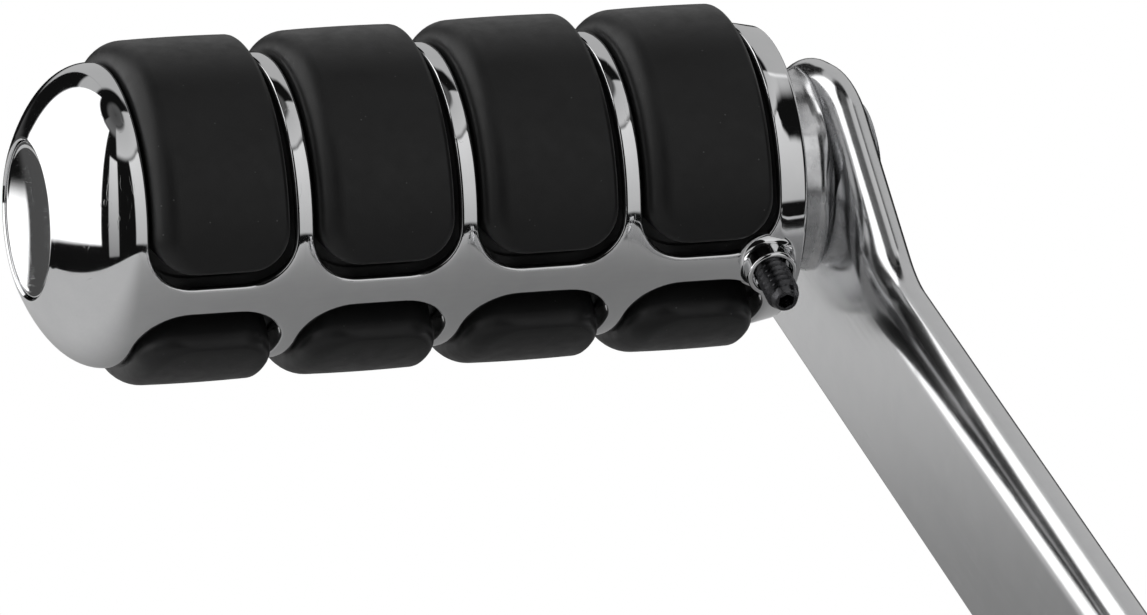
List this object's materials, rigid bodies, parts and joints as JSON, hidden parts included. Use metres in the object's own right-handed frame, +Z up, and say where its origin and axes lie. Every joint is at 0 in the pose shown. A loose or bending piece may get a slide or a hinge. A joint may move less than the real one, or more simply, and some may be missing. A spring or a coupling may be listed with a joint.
{
  "type": "gear shift lever",
  "caption": "Motorcycle gear shift lever: a chromed flat arm with a splined clamp hub and a round toe peg with black rubber pads in a chromed cage.",
  "frame": {"origin": "centre of the hub's splined bore, which holds the lever on the gear shift shaft", "axes": "+Y along the bore towards the engine, so the toe peg points along -Y; +X from the peg towards the hub; +Z up"},
  "size_m": [0.1616, 0.0928, 0.0751],
  "materials": {
    "chrome": "polished chrome plate",
    "bright_steel": "zinc plated steel",
    "cast_alloy": "machined alloy",
    "black_rubber": "matte moulded rubber",
    "black_oxide_steel": "black oxide"
  },
  "bodies": {
    "lever": {"lever_arm": "chrome", "clamp_hub": "chrome", "hub_weld_outboard": "chrome", "hub_weld_inboard": "chrome", "peg_stud": "bright_steel", "stud_collar": "chrome"},
    "peg": {"peg_cage": "chrome", "peg_core": "cast_alloy", "core_screw": "black_oxide_steel", "nose_cap": "chrome", "rubber_pad_upper_1": "black_rubber", "rubber_pad_upper_2": "black_rubber", "rubber_pad_upper_3": "black_rubber", "rubber_pad_upper_4": "black_rubber", "rubber_pad_lower_1": "black_rubber", "rubber_pad_lower_2": "black_rubber", "rubber_pad_lower_3": "black_rubber", "rubber_pad_lower_4": "black_rubber"},
    "set_screw": {"set_screw": "black_oxide_steel"},
    "pinch_washer": {"pinch_bolt_washer": "bright_steel"},
    "pinch_bolt": {"pinch_bolt": "black_oxide_steel"}
  },
  "joints": [
    {"name": "peg_turn", "type": "hinge", "parent": "lever", "child": "peg", "pos_m": [-0.12, -0.00285, 0.0435], "axis": [0, -1, 0], "continuous": true},
    {"name": "set_screw_travel", "type": "slide", "parent": "peg", "child": "set_screw", "axis": [0.9063, 0, -0.4226], "range_m": [0, 0.006]},
    {"name": "pinch_bolt_turn", "type": "hinge", "parent": "pinch_washer", "child": "pinch_bolt", "pos_m": [0.01695, 0, 0.00529], "axis": [0.2588, 0, 0.9659], "range_deg": [0, 2880]},
    {"name": "pinch_washer_travel", "type": "slide", "parent": "lever", "child": "pinch_washer", "axis": [0.2588, 0, 0.9659], "range_m": [0, 0.008]}
  ],
  "couplings": [
    {"joint": "pinch_bolt_turn", "follows": "pinch_washer_travel", "rad_per_m": 6283.2}
  ]
}
